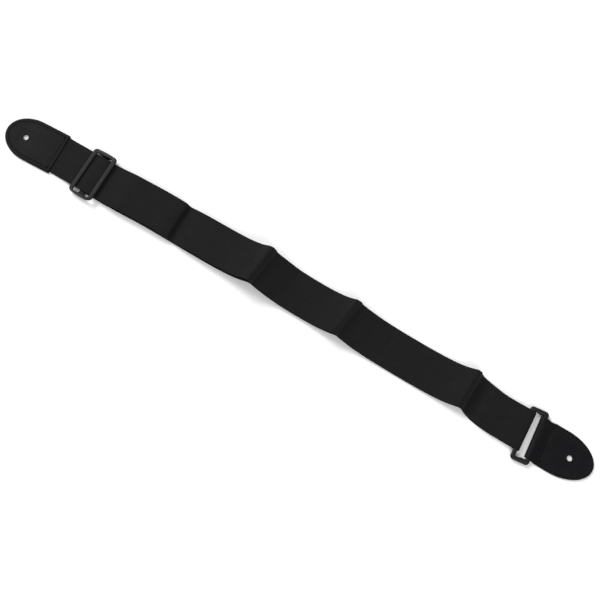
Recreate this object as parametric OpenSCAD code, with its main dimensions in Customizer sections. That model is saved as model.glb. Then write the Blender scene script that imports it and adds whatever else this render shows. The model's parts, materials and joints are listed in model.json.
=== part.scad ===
// Adjustable shoulder strap for a guitar, laid flat at its shortest setting.
// A long webbing is sewn into leather end A, passes through the slider, turns
// round one bar of a rectangular ring and comes back beneath itself to the
// slider, where it is sewn in a loop round the middle bar. Leather end B is
// folded round the ring's other bar.
// Frame: X along the strap from end A to end B, Z up, the strap lies on z = 0,
// and the ring is centred on y = 0.

/* [Strap] */
// Length from tip to tip at the shortest setting
strap_l = 836; // [820:2:900]
// Width of the webbing
web_w = 50.8; // [49:0.2:51]
// Thickness of the webbing
web_t = 1.3; // [1.2:0.05:1.35]
// Thickness of one layer of leather
leather_t = 1.4; // [1.3:0.05:1.5]

/* [Leather ends] */
// Length of end A from its seam to its tip
end_a_l = 76; // [70:1:80]
// Width of end A
end_a_w = 55; // [53:0.5:56]
// Length of the rounded tip of end A
end_a_tip = 37; // [30:1:40]
// Turn of end A in plan against the webbing, in degrees
end_a_yaw = 3; // [0:0.5:4]
// Distance from the tip of end A to the centre of its hole
hole_a_in = 27.2; // [24:0.2:28]
// Length of end B from the ring's bar to its tip
end_b_l = 75.2; // [74:0.2:80]
// Width of end B
end_b_w = 56; // [54.5:0.5:56]
// Width of end B where it is folded round the ring
end_b_fold_w = 53.4; // [52:0.2:53.6]
// Length of the rounded tip of end B
end_b_tip = 46; // [40:1:48]
// Distance from the tip of end B to the centre of its hole
hole_b_in = 30.5; // [28:0.5:32]
// Diameter of the strap button holes
hole_d = 7; // [6:0.5:9]

/* [Stitching] */
// Distance of the stitching from the leather's edge
stitch_in = 4.6; // [4:0.1:5]
// Spacing of the stitches
stitch_pitch = 3.6; // [3.2:0.1:4]

/* [Slider] */
// Width of the slider across the strap
slider_w = 63.5; // [63:0.5:66]
// Length of the slider along the strap
slider_l = 34; // [31:0.5:34]
// Gap between the slider's near edge and the seam of end A
slider_gap = 35; // [34:0.5:40]
// Tilt of the slider's frame, which rises towards the ring, in degrees
slider_tilt = 8; // [5:0.5:9]

/* [Ring] */
// Width of the ring across the strap
ring_w = 69.5; // [69:0.5:70.5]
// Distance between the axes of the ring's two bars
ring_gap = 18.5; // [18:0.25:19]
// Diameter of the ring's bars
ring_bar_d = 5.5; // [5:0.1:5.6]
// Turn of the ring in plan against the webbing, in degrees
ring_yaw = 6.5; // [4:0.5:8]

/* [Folds] */
// Distances from end A's seam to the folds that packing has left in the webbing
fold_x = [179, 294, 419, 588]; // [150:1:590]
// Heights of these folds: the first is a valley and the others are crests
fold_h = [-8, 19, 18, 12]; // [-8:0.5:24]
// Sideways steps of the webbing at these folds
fold_y = [0, 2, 2, 4.5]; // [-5:0.5:5]
// Height of the bridge that the webbing makes between the slider and the first crest
bridge_h = 9; // [6:0.5:9]
// Sideways bow of the webbing between the slider and the ring
web_bow = 2.5; // [0:0.5:3]
// Turn of the two middle folds in plan, in degrees
crest_yaw = 7; // [0:1:8]

/* [Hidden] */

// The webbing lies this far above the surface that the strap rests on
lift = 0.1;
// Play between a bar and what is wrapped round it
bar_play = 0.15;
// Play between layers that slide on each other
layer_play = 0.15;
// Gap between stretches of webbing that are one piece in the strap
cut = 0.01;
// Centre line of the webbing in plan, beside the ring's centre
web_y = 2.4;
// Steps for smooth round walls
fine = 64;
// Longer, wider and higher than the whole strap, for cuts that go right through
far = 900;

// Leather end A: its own frame starts at the seam, and +x points to its tip
tongue = 26;
ramp_start = 28;
ramp_end = 41;
groove_w = 1.2;
groove_deep = 0.4;
seam_row = 4.2;
row_gap = 1.8;
end_a_top = 2 * leather_t + web_t;
tip_reach = norm([end_a_tip * cos(end_a_yaw), end_a_w / 2 * sin(end_a_yaw)]);
seam_x = -strap_l / 2 + (end_a_l - end_a_tip) * cos(end_a_yaw) + tip_reach;
front_under = [
    [-1, leather_t + web_t],
    [ramp_start, leather_t + web_t],
    [ramp_end, leather_t],
    [end_a_l + 1, leather_t]
];

// Stitches lie in the grooves and stand a little above the leather on the front
stitch_l = 2.6;
stitch_w = 0.8;
stitch_top = groove_deep + 0.15;
stitch_back = groove_deep - 0.04;
back_floor_z = 0.02;

// Slider: a flat middle bar hangs below two outer bars, and it lies a little to one side
slider_x = seam_x + slider_gap + slider_l / 2;
slider_y = web_y - 0.9;
mid_bar_w = 8;
mid_bar_t = 2.2;
mid_bar_z = lift + web_t + 0.1 + mid_bar_t / 2;
loop_r = mid_bar_t / 2 + 0.1;
loop_top = mid_bar_z + loop_r + web_t;
upper_z = loop_top + layer_play;
outer_bar_z = upper_z + web_t + 0.55;
outer_bar_w = 5.5;
outer_bar_t = 2.8;
cheek_w = 2.4;
cheek_foot = 6;
slider_corner = 4.5;
slider_bevel = 0.8;
loop_rise_end = 4;
loop_rise_start = 12;
lap = 36;
// The webbing climbs onto the loop between these distances before the slider's middle
climb = [16, 2];
under_bar_z = 3.2;

// Ring: both bars are at one height, so what wraps them rests on the surface
ring_z = leather_t + bar_play + ring_bar_d / 2;
ring_r = ring_bar_d / 2;
turn_in = ring_r + bar_play;
bar_b = [strap_l / 2 - end_b_l, ring_gap / 2 * sin(ring_yaw)];
bar_a = [bar_b[0] - ring_gap * cos(ring_yaw), -bar_b[1]];
ring_corner = 2.9;

// Leather end B: its own frame starts at the ring's bar
end_b_y = 1.4;
tunnel = 12.8;
tunnel_row = 14.4;
end_b_top = 2 * leather_t;

// Levels of the webbing's underside along the upper run
rest_z = 2.1;
turn_z = ring_z + turn_in;
settle = 55;
rise = [62.5, 48.5, 28, 1];
fold_left = [5, 20, 20, 22];
fold_right = [16, 28, 20, 9];
step_right = [16, 28, 20, 20];
fold_round = 3;
fold_start = 80;
bridge_end = 45;
// The lower run follows the crests a little, and steps to the side under them
lower_h = [for (h = fold_h) 0.25 * max(0, h)];
lower_y = [for (i = [0 : 3]) fold_y[i] + 0.17 * max(0, fold_h[i])];
skew_start = 60;
skew_end = 4;
bow_start = [25, 100];
bow_end = [80, 30];
// The turn of the middle folds comes and goes within these distances of them
yaw_near = 20;
yaw_far = 80;

function smooth(u) = let (v = max(0, min(1, u))) v * v * (3 - 2 * v);

function ramp(x, a, b) = smooth((x - a) / (b - a));

// One packing fold: a rounded crest with sides that sag away from it
function fold(d, left, right) =
    exp(-(norm([d, fold_round]) - fold_round) / (d < 0 ? left : right));

function add(v) = v * [for (i = v) 1];

// All the folds at x, each with its own size and its own reach to the right
function folds(x, size, right) = add([
    for (k = [0 : len(size) - 1])
    size[k] * fold(x - seam_x - fold_x[k], fold_left[k], right[k])
]);

function bow(x) =
    web_bow
    * ramp(x, slider_x + bow_start[0], slider_x + bow_start[1])
    * (1 - ramp(x, bar_a[0] - bow_end[0], bar_a[0] - bow_end[1]));

// A line of webbing in plan: it follows end A, then bows and steps at each fold
function plan_y(x, steps, right) =
    web_y
    + bow(x)
    + folds(x, steps, right)
        * ramp(x, seam_x, seam_x + 60)
        * (1 - ramp(x, bar_a[0] - rise[0], bar_a[0] - rise[2]))
    + min(0, x - seam_x) * tan(end_a_yaw);

function mid_y(x) = plan_y(x, fold_y, step_right);

function lower_mid_y(x) = plan_y(x, lower_y, fold_right);

function bridge(x) =
    bridge_h
    * ramp(x, slider_x + slider_l / 2, slider_x + settle)
    * (1 - ramp(x, seam_x + fold_x[1], seam_x + fold_x[1] + bridge_end));

function upper_under(x) =
    leather_t
    + (under_bar_z - leather_t) * ramp(x, seam_x + 5, slider_x - climb[0] - 2)
    + (upper_z - under_bar_z) * ramp(x, slider_x - climb[0], slider_x - climb[1])
    - (upper_z - rest_z) * ramp(x, slider_x + slider_l / 2, slider_x + slider_l / 2 + settle)
    + (upper_z - rest_z) * ramp(x, bar_a[0] - rise[0], bar_a[0] - rise[1])
    + (turn_z - upper_z) * ramp(x, bar_a[0] - rise[2], bar_a[0] - rise[3])
    + bridge(x)
    + folds(x, fold_h, fold_right) * ramp(x, slider_x + slider_l, slider_x + fold_start);

function lower_under(x) =
    lift
    + web_t * (1 - ramp(x, slider_x + lap, slider_x + lap + 12))
    + folds(x, lower_h, fold_right) * ramp(x, slider_x + lap, slider_x + fold_start);

// The cross-sections turn with the middle folds, and lie along the ring's bar near it
function skew(x) =
    ring_yaw * ramp(x, bar_a[0] - skew_start, bar_a[0] - skew_end)
    - crest_yaw
        * ramp(x - seam_x - fold_x[1], -yaw_far, -yaw_near)
        * (1 - ramp(x - seam_x - fold_x[2], yaw_near, yaw_far));

function ring_plane(y) = bar_a[0] - (y - bar_a[1]) * tan(ring_yaw);

// A closed strip of webbing swept through sections [x, y, underside, skew]
module strip(sections) {
    half = web_w / 2;
    n = len(sections);
    points = [
        for (s = sections)
        for (c = [[-1, 0], [1, 0], [1, 1], [-1, 1]])
        [s[0] - c[0] * half * tan(s[3]), s[1] + c[0] * half, s[2] + c[1] * web_t]
    ];
    sides = [
        for (i = [0 : n - 2])
        for (k = [0 : 3])
        let (a = 4 * i + k, b = 4 * i + (k + 1) % 4)
        each [[a, b, b + 4], [a, b + 4, a + 4]]
    ];
    last = 4 * n - 4;
    ends = [
        [0, 2, 1], [0, 3, 2],
        [last, last + 1, last + 2], [last, last + 2, last + 3]
    ];
    polyhedron(points, concat(sides, ends), convexity = 6);
}

// Outline of a leather end: straight sides and half an ellipse for its tip
function end_outline(l, w, tip, inset, start) = concat(
    [[start, inset - w / 2]],
    [
        for (a = [-90 : 6 : 90])
        [l - tip + (tip - inset) * cos(a), (w / 2 - inset) * sin(a)]
    ],
    [[start, w / 2 - inset]]
);

// Distances along a line of points
function run_lengths(p) = [
    for (i = 0, s = 0; i < len(p); i = i + 1, s = s + (i < len(p) ? norm(p[i] - p[i - 1]) : 0)) s
];

// One stitch lies along +x and is centred on its own underside
module stitch(height) {
    translate([-stitch_l / 2, -stitch_w / 2, 0])
        cube([stitch_l, stitch_w, height]);
}

// A row of stitches along a line of points, on a surface whose height is looked up by x
module stitch_row(p, surface, height) {
    runs = run_lengths(p);
    total = runs[len(p) - 1];
    count = round(total / stitch_pitch);
    xs = [for (i = [0 : len(p) - 1]) [runs[i], p[i][0]]];
    ys = [for (i = [0 : len(p) - 1]) [runs[i], p[i][1]]];
    for (k = [0 : count - 1]) {
        s = (k + 0.5) * total / count;
        x = lookup(s, xs);
        dx = lookup(s + 0.5, xs) - lookup(s - 0.5, xs);
        dy = lookup(s + 0.5, ys) - lookup(s - 0.5, ys);
        dz = lookup(x + dx, surface) - lookup(x, surface);
        translate([x, lookup(s, ys), lookup(x, surface)])
            rotate([0, -atan2(dz, norm([dx, dy])), atan2(dy, dx)])
            stitch(height);
    }
}

// A flat surface, as the heights that stitch_row() looks up
function flat(z) = [[-far, z], [far, z]];

// Extrudes an outline drawn in x and z across the strap
module across(w) {
    rotate([90, 0, 0])
        linear_extrude(height = w, center = true)
        children();
}

// Moves a shape from end A's own frame into the strap's
module at_end_a() {
    translate([seam_x, web_y, 0])
        rotate([0, 0, 180 + end_a_yaw])
        children();
}

module end_a_plan(inset, start) {
    polygon(end_outline(end_a_l, end_a_w, end_a_tip, inset, start));
}

// Grooves pressed by both rows of stitches, as columns of the given height
module end_a_grooves(h) {
    row = end_a_w / 2 - stitch_in + groove_w / 2;
    linear_extrude(height = h) {
        difference() {
            end_a_plan(stitch_in - groove_w / 2, seam_row);
            end_a_plan(stitch_in + groove_w / 2, seam_row - 1);
        }
        translate([seam_row - groove_w / 2, -row])
            square([groove_w, 2 * row]);
    }
}

// The front leather steps down over the end of the webbing's tongue
module end_a_front_blank() {
    intersection() {
        across(end_a_w + 2)
            polygon(concat(
                front_under,
                [for (i = [3 : -1 : 0]) front_under[i] + [0, leather_t]]
            ));
        linear_extrude(height = far)
            end_a_plan(0, 0);
    }
}

module button_hole(x) {
    translate([x, 0, -1])
        cylinder(d = hole_d, h = end_a_top + 2, $fn = fine);
}

module end_a_front_leather() {
    color([0.14, 0.14, 0.155])
        at_end_a()
        difference() {
            end_a_front_blank();
            intersection() {
                translate([0, 0, leather_t - groove_deep])
                    end_a_front_blank();
                end_a_grooves(far);
            }
            button_hole(end_a_l - hole_a_in);
        }
}

module end_a_back_leather() {
    color([0.13, 0.13, 0.14])
        at_end_a()
        difference() {
            linear_extrude(height = leather_t)
                end_a_plan(0, 0);
            translate([0, 0, groove_deep - 1])
                end_a_grooves(1);
            button_hole(end_a_l - hole_a_in);
        }
}

// Floors of the grooves on the front and on the back
front_floor = [for (p = front_under) p + [0, leather_t - groove_deep]];
back_floor = flat(back_floor_z);
end_b_floor = flat(end_b_top - groove_deep);

module end_a_edge_stitching() {
    path = end_outline(end_a_l, end_a_w, end_a_tip, stitch_in, seam_row + row_gap);
    color([0.1, 0.1, 0.11])
        at_end_a() {
            stitch_row(path, front_floor, stitch_top);
            stitch_row(path, back_floor, stitch_back);
        }
}

module end_a_seam_stitching() {
    row = end_a_w / 2 - stitch_in;
    path = [[seam_row, -row], [seam_row, row]];
    color([0.1, 0.1, 0.11])
        at_end_a() {
            stitch_row(path, front_floor, stitch_top);
            stitch_row(path, back_floor, stitch_back);
        }
}

// From the tongue in end A, over the slider's middle bar, to the top of the ring's bar
module webbing_upper_run() {
    steps = 216;
    x0 = seam_x - tongue;
    x1 = ring_plane(web_y) - cut;
    color([0.11, 0.11, 0.12])
        strip([
            for (i = [0 : steps])
            let (x = x0 + (x1 - x0) * i / steps)
            [x, mid_y(x), upper_under(x), skew(x)]
        ]);
}

// From the sewn lap at the slider to the bottom of the ring's bar
module webbing_lower_run() {
    steps = 180;
    x0 = slider_x + lap;
    x1 = ring_plane(web_y) - cut;
    color([0.1, 0.1, 0.11])
        strip([
            for (i = [0 : steps])
            let (x = x0 + (x1 - x0) * i / steps)
            [x, lower_mid_y(x), lower_under(x), skew(x)]
        ]);
}

// Half a turn round the ring's first bar, with its edges in line with the strap
module webbing_ring_turn() {
    color([0.11, 0.11, 0.12])
        intersection() {
            translate([bar_a[0], bar_a[1], ring_z])
                rotate([0, 0, ring_yaw])
                across(2 * web_w)
                difference() {
                    circle(r = turn_in + web_t, $fn = fine);
                    circle(r = turn_in, $fn = fine);
                    translate([-far, -far / 2])
                        square(far);
                }
            translate([0, web_y - web_w / 2, 0])
                cube([far, web_w, far]);
        }
}

module slider_plan() {
    half_l = slider_l / 2 - slider_corner;
    half_w = slider_w / 2 - slider_corner;
    circle_at = [[-1, -1], [1, -1], [1, 1], [-1, 1]];
    for (c = circle_at)
        translate([c[0] * half_l, c[1] * half_w])
            circle(r = slider_corner, $fn = fine);
    square([slider_l, 2 * half_w], center = true);
    square([2 * half_l, slider_w], center = true);
}

module middle_bar() {
    across(slider_w - cheek_w) {
        square([mid_bar_w - mid_bar_t, mid_bar_t], center = true);
        for (side = [-1, 1])
            translate([side * (mid_bar_w - mid_bar_t) / 2, 0])
                circle(d = mid_bar_t, $fn = fine);
    }
}

// Underside of the slider's outer bars, which tilts about the middle bar
function bar_under(x) = outer_bar_z + x * tan(slider_tilt);

// One moulding: two outer bars, two cheeks that drop in the middle, and the middle bar
module slider() {
    half = slider_l / 2;
    flat_half = half - 2 * slider_bevel;
    low = mid_bar_z - mid_bar_t / 2;
    color([0.2, 0.2, 0.21])
        translate([slider_x, slider_y, 0]) {
            translate([0, 0, mid_bar_z])
                middle_bar();
            difference() {
                intersection() {
                    linear_extrude(height = far)
                        slider_plan();
                    across(slider_w)
                        polygon([
                            [-half, bar_under(-half)], [-cheek_foot, low],
                            [cheek_foot, low], [half, bar_under(half)],
                            [half, bar_under(half) + outer_bar_t - slider_bevel],
                            [flat_half, bar_under(flat_half) + outer_bar_t],
                            [-flat_half, bar_under(-flat_half) + outer_bar_t],
                            [-half, bar_under(-half) + outer_bar_t - slider_bevel]
                        ]);
                }
                cube([slider_l - 2 * outer_bar_w, slider_w - 2 * cheek_w, far], center = true);
                across(slider_w - 2 * cheek_w)
                    polygon([
                        [-slider_l, -1], [slider_l, -1],
                        [slider_l, bar_under(slider_l)], [-slider_l, bar_under(-slider_l)]
                    ]);
            }
        }
}

// Points along the left half of a circle, from its bottom to its top
function left_arc(x, z, r) = [for (a = [270 : -7.5 : 90]) [x + r * cos(a), z + r * sin(a)]];

// The sewn end of the webbing: it wraps the slider's middle bar and laps on itself
module webbing_slider_loop() {
    eye = (mid_bar_w - mid_bar_t) / 2;
    lap_top = lift + 2 * web_t;
    color([0.11, 0.11, 0.12])
        translate([slider_x, web_y, 0])
        across(web_w)
        difference() {
            polygon(concat(left_arc(-eye, mid_bar_z, loop_r + web_t), [
                [loop_rise_end, loop_top], [loop_rise_start, lap_top],
                [lap, lap_top], [lap, lift]
            ]));
            polygon(concat(left_arc(-eye, mid_bar_z, loop_r), [
                [loop_rise_end, loop_top - web_t], [loop_rise_start, lift + web_t]
            ]));
        }
}

// A box with a cross in it, on both faces of the lap
module slider_loop_stitching() {
    thick = 0.4;
    sunk = 0.25;
    box_x = [loop_rise_start + 3, lap - 3];
    box_y = web_w / 2 - 5;
    cross_x = box_x + [2, -2];
    cross_y = box_y - 1.5;
    box_row = [
        [box_x[0], -box_y], [box_x[1], -box_y], [box_x[1], box_y], [box_x[0], box_y],
        [box_x[0], -box_y]
    ];
    color([0.09, 0.09, 0.1])
        translate([slider_x, web_y, 0])
        for (level = [flat(lift + 2 * web_t - sunk), flat(lift)]) {
            stitch_row(box_row, level, thick);
            stitch_row([[cross_x[0], -cross_y], [cross_x[1], cross_y]], level, thick);
            for (part_row = [[0, 0.42], [0.58, 1]])
                stitch_row([
                    for (u = part_row)
                    [cross_x[0] + u * (cross_x[1] - cross_x[0]), cross_y * (1 - 2 * u)]
                ], level, thick);
        }
}

// A rectangular ring of round bar with rounded corners
module ring() {
    half_l = ring_gap / 2;
    half_w = (ring_w - ring_bar_d) / 2;
    color([0.19, 0.19, 0.2])
        translate([(bar_a[0] + bar_b[0]) / 2, 0, ring_z])
        rotate([0, 0, ring_yaw]) {
            for (side = [-1, 1]) {
                translate([side * half_l, 0, 0])
                    rotate([90, 0, 0])
                    cylinder(r = ring_r, h = 2 * (half_w - ring_corner), center = true, $fn = fine);
                translate([0, side * half_w, 0])
                    rotate([0, 90, 0])
                    cylinder(r = ring_r, h = 2 * (half_l - ring_corner), center = true, $fn = fine);
                for (end = [-1, 1])
                    translate([side * (half_l - ring_corner), end * (half_w - ring_corner), 0])
                        rotate([0, 0, end > 0 ? (side > 0 ? 0 : 90) : (side > 0 ? 270 : 180)])
                        rotate_extrude(angle = 90, $fn = fine)
                        translate([ring_corner, 0])
                        circle(r = ring_r, $fn = fine);
            }
        }
}

// Height of the top of end B along the tunnel that holds the ring's bar
function tunnel_top(x) = end_b_top + (ring_z + turn_in + leather_t - end_b_top) * (1 - ramp(x, -0.5, tunnel));

// Section of the folded leather, square to the ring's bar
module end_b_section() {
    steps = 16;
    curve = [for (i = [steps : -1 : 0]) i * tunnel / steps];
    difference() {
        union() {
            circle_at_bar(turn_in + leather_t);
            polygon(concat(
                [[0, 0], [far, 0], [far, end_b_top]],
                [for (x = curve) [x, tunnel_top(x)]]
            ));
        }
        circle_at_bar(turn_in);
        polygon(concat(
            [[0, leather_t]],
            [for (x = curve) [x, tunnel_top(x) - leather_t]]
        ));
    }
}

module circle_at_bar(r) {
    translate([0, ring_z])
        circle(r = r, $fn = fine);
}

// Plan outline of end B, which narrows where it passes through the ring
module end_b_plan() {
    half = end_b_fold_w / 2;
    narrow = 6;
    outline = end_outline(end_b_l, end_b_w, end_b_tip, 0, 2 * narrow);
    polygon(concat(
        [[-tunnel, -half], [narrow, -half]],
        outline,
        [[narrow, half], [-tunnel, half]]
    ));
}

function tunnel_line(x, y) = x - (y + end_b_y - bar_b[1]) * tan(ring_yaw);

function end_b_path(inset, start) =
    let (
        whole = end_outline(end_b_l, end_b_w, end_b_tip, inset, start),
        half = end_b_w / 2 - inset,
        last = len(whole) - 1
    )
    [
        for (i = [0 : last])
        i == 0 ? [tunnel_line(start, -half), -half]
            : i == last ? [tunnel_line(start, half), half] : whole[i]
    ];

module end_b_grooves(h) {
    row = end_b_w / 2 - stitch_in + groove_w / 2;
    linear_extrude(height = h) {
        difference() {
            polygon(end_b_path(stitch_in - groove_w / 2, tunnel_row));
            polygon(end_b_path(stitch_in + groove_w / 2, tunnel_row - 2));
        }
        translate([0, bar_b[1] - end_b_y])
            rotate([0, 0, ring_yaw])
            translate([tunnel_row - groove_w / 2, -row])
            square([groove_w, 2 * row]);
    }
}

// One strip folded round the ring's bar, with both layers closed together beyond it
module end_b_leather() {
    color([0.12, 0.12, 0.13])
        translate([bar_b[0], end_b_y, 0])
        difference() {
            intersection() {
                translate([0, bar_b[1] - end_b_y, 0])
                    rotate([0, 0, ring_yaw])
                    across(3 * end_b_w)
                    end_b_section();
                linear_extrude(height = far)
                    end_b_plan();
            }
            translate([0, 0, end_b_top - groove_deep])
                end_b_grooves(1);
            translate([0, 0, groove_deep - 1])
                end_b_grooves(1);
            button_hole(end_b_l - hole_b_in);
        }
}

module end_b_edge_stitching() {
    path = end_b_path(stitch_in, tunnel_row + row_gap);
    color([0.1, 0.1, 0.11])
        translate([bar_b[0], end_b_y, 0]) {
            stitch_row(path, end_b_floor, stitch_top);
            stitch_row(path, back_floor, stitch_back);
        }
}

module end_b_tunnel_stitching() {
    row = end_b_w / 2 - stitch_in;
    path = [[tunnel_row, -row], [tunnel_row, row]];
    color([0.1, 0.1, 0.11])
        translate([bar_b[0], bar_b[1], 0])
        rotate([0, 0, ring_yaw]) {
            stitch_row(path, end_b_floor, stitch_top);
            stitch_row(path, back_floor, stitch_back);
        }
}

end_a_front_leather();
end_a_back_leather();
end_a_edge_stitching();
end_a_seam_stitching();
webbing_upper_run();
slider();
webbing_slider_loop();
slider_loop_stitching();
webbing_lower_run();
webbing_ring_turn();
ring();
end_b_leather();
end_b_edge_stitching();
end_b_tunnel_stitching();
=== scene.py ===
import json
import math

import bmesh
import bpy
import numpy as np
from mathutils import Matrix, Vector
from mathutils.geometry import delaunay_2d_cdt


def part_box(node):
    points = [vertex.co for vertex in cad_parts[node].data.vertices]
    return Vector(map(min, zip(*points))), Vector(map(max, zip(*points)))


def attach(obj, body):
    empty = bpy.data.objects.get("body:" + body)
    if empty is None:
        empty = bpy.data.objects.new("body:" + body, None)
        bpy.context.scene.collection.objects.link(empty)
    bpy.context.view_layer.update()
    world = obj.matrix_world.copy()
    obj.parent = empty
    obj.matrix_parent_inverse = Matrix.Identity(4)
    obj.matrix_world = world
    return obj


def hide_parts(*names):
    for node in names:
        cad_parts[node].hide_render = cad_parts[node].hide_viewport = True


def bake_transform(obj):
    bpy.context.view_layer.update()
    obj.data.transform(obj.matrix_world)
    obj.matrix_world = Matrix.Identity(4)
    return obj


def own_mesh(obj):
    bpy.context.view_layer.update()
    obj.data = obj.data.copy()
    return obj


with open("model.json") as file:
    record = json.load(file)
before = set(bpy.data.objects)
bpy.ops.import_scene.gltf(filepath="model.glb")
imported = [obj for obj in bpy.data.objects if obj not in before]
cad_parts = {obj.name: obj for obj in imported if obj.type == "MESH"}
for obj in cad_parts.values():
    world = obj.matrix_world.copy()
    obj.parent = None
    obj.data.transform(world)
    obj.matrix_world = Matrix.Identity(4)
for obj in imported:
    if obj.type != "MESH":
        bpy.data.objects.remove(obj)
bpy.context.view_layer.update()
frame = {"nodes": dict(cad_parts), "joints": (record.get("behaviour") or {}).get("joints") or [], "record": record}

# All lengths below are in millimetres; new_piece() turns them into Blender's metres.
MM = 0.001

# ------------ sizes from the frame


def cad_box(node):
    """Lowest and highest corner of a CAD node, in millimetres."""
    low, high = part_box(node)
    return np.array(low) / MM, np.array(high) / MM


def strip_edges(node):
    """The underside of a strip of webbing in the frame, as points along its two long edges."""
    corners = [vertex.co for vertex in frame["nodes"][node].data.vertices]
    points = np.unique(np.round(corners, 7), axis=0) / MM
    middle = (points[:, 1].min() + points[:, 1].max()) / 2
    edges = []
    for side in (-1, 1):
        edge = points[(points[:, 1] - middle) * side > 0]
        edge = edge[np.lexsort((edge[:, 2], edge[:, 0]))]
        edges.append(edge[0::2])
    return edges


JOINTS = {joint["name"]: joint for joint in frame["joints"]}
MOUNTS = {mount["name"]: mount for mount in frame["record"]["mounts"]}

# The ring: axes of its two bars, and its turn in plan
BAR_A = np.array(JOINTS["ring_swing"]["pos_m"]) / MM
BAR_B = np.array(JOINTS["end_b_swing"]["pos_m"]) / MM
BAR_WAY = JOINTS["ring_swing"]["axis"]
RING_YAW = math.atan2(BAR_WAY[0], -BAR_WAY[1])
RING_Z = BAR_A[2]
RING_LOW, RING_HIGH = cad_box("ring")
RING_R = (RING_HIGH[2] - RING_LOW[2]) / 2
# Corner radii of the bars' axis, the outline and the opening
RING_CORNER = 2.9
RING_OUTER_CORNER = 4.4
RING_INNER_CORNER = 1.2
# The side bars are thicker inside by this much, between these distances from the first bar's axis
END_BAR_MORE = 0.9
END_BAR_FROM = (7, 10)

# The webbing
LOOP_LOW, LOOP_HIGH = cad_box("webbing_slider_loop")
TURN_LOW, TURN_HIGH = cad_box("webbing_ring_turn")
WEB_Y = (LOOP_LOW[1] + LOOP_HIGH[1]) / 2
WEB_W = LOOP_HIGH[1] - LOOP_LOW[1]
WEB_T = 1.3
LIFT = LOOP_LOW[2]
TURN_R = (TURN_HIGH[2] - TURN_LOW[2]) / 2 - WEB_T

# Faces that touch in the real strap are kept apart by this much
APART = 0.02

# The slider
SLIDER_LOW, SLIDER_HIGH = cad_box("slider")
SLIDER_X, SLIDER_Y = ((SLIDER_LOW + SLIDER_HIGH) / 2)[:2]
SLIDER_L, SLIDER_W = (SLIDER_HIGH - SLIDER_LOW)[:2]
SLIDER_TILT = math.radians(8)
MID_BAR_W = 8
MID_BAR_T = 2.2
MID_BAR_Z = SLIDER_LOW[2] + MID_BAR_T / 2
OUTER_BAR_W = 5.5
OUTER_BAR_T = 2.8
CHEEK_W = 2.5
# The cheek on the +y side is thicker inside by about this much, and the cheeks bow out by this much
FAR_CHEEK_MORE = 1.9
CHEEK_BOW = 0.7
SLIDER_CORNER = 4.5
# The cheeks reach down to the middle bar within the first distance of its axis, not past the other
CHEEK_DOWN = (5, 14)
# Half the middle bar's width and thickness grow by this much, between these distances from its end
FLARE_W = 1.5
FLARE_T = 0.5
FLARE_FROM = (4.6, 1.2)
OUTER_BAR_Z = SLIDER_HIGH[2] - OUTER_BAR_T - SLIDER_L / 2 * math.tan(SLIDER_TILT)
# How far the slider gains on the ring over its whole travel, and where that puts it
SLIDER_FAR = (JOINTS["slider_slide"]["range_m"][1] - JOINTS["turn_slide"]["range_m"][1]) / MM
SLIDER_SEAT = SLIDER_X + SLIDER_FAR

# The leather ends; each has its own frame, in which +x points to its tip
LEATHER_T = cad_box("end_a_back_leather")[1][2]
STITCH_IN = 4.6
STITCH_PITCH = 3.6
GROOVE_DEEP = 0.4
END_A_L = 76
END_A_W = 55
END_A_TIP = 37
END_A_YAW = math.radians(3)
HOLE_A_IN = 27.2
# From end A's straight side: its row of stitches, and where its front leather steps down
SEAM_ROW = 4.2
RAMP_START = 26
RAMP_END = 58
HOLE_A = np.array(MOUNTS["strap_hole_a"]["pos_m"]) / MM
HOLE_B = np.array(MOUNTS["strap_hole_b"]["pos_m"]) / MM
HOLE_R = MOUNTS["strap_hole_a"]["dims"]["r_mm"]
END_B_LOW, END_B_HIGH = cad_box("end_b_leather")
END_B_L = END_B_HIGH[0] - BAR_B[0]
END_B_W = END_B_HIGH[1] - END_B_LOW[1]
END_B_Y = (END_B_LOW[1] + END_B_HIGH[1]) / 2
END_B_FOLD_W = 53.4
END_B_TIP = 46
# From the ring's bar: the end of the tunnel round it, and the row of stitches that closes it
TUNNEL = 12.8
TUNNEL_ROW = 14.4
# Where the sides of end B's fold meet the rest of its outline
FOLD_SIDE = 5.0

# ------------ curves and unevenness


def smooth(u):
    v = np.clip(u, 0, 1)
    return v * v * (3 - 2 * v)


def ramp(x, a, b):
    return smooth((x - a) / (b - a))


def waves(x, y, size, seed):
    """Smooth unevenness between -1 and 1, with wavelengths of about that size."""
    rng = np.random.default_rng(seed)
    total = 0
    for _ in range(6):
        way, phase = rng.uniform(0, 2 * math.pi, 2)
        fine = rng.uniform(0.7, 1.6) / size
        total = total + np.sin(2 * math.pi * fine * (x * math.cos(way) + y * math.sin(way)) + phase)
    return total / 6


def lengths(points):
    """Distance of each point along the line that joins them."""
    steps = np.linalg.norm(np.diff(points, axis=0), axis=1)
    return np.concatenate([[0], np.cumsum(steps)])


def turned(points, angle):
    """Points in plan, turned about the origin."""
    c, s = math.cos(angle), math.sin(angle)
    x, y = points[:, 0], points[:, 1]
    return np.stack([x * c - y * s, x * s + y * c], axis=1)


def through(points, places, at):
    """Points on the smooth curve that passes through points at those places along it."""
    slopes = np.gradient(points, places, axis=0)
    i = np.clip(np.searchsorted(places, at) - 1, 0, len(places) - 2)
    gap = (places[i + 1] - places[i])[:, None]
    u = (at - places[i])[:, None] / gap
    start = (1 + 2 * u) * (1 - u) ** 2 * points[i] + u * (1 - u) ** 2 * gap * slopes[i]
    end = u * u * (3 - 2 * u) * points[i + 1] + u * u * (u - 1) * gap * slopes[i + 1]
    return start + end


# ------------ meshes


def new_object(name, data):
    """An object in the scene that shows this mesh, lamp or camera."""
    made = bpy.data.objects.new(name, data)
    bpy.context.scene.collection.objects.link(made)
    return made


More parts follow.
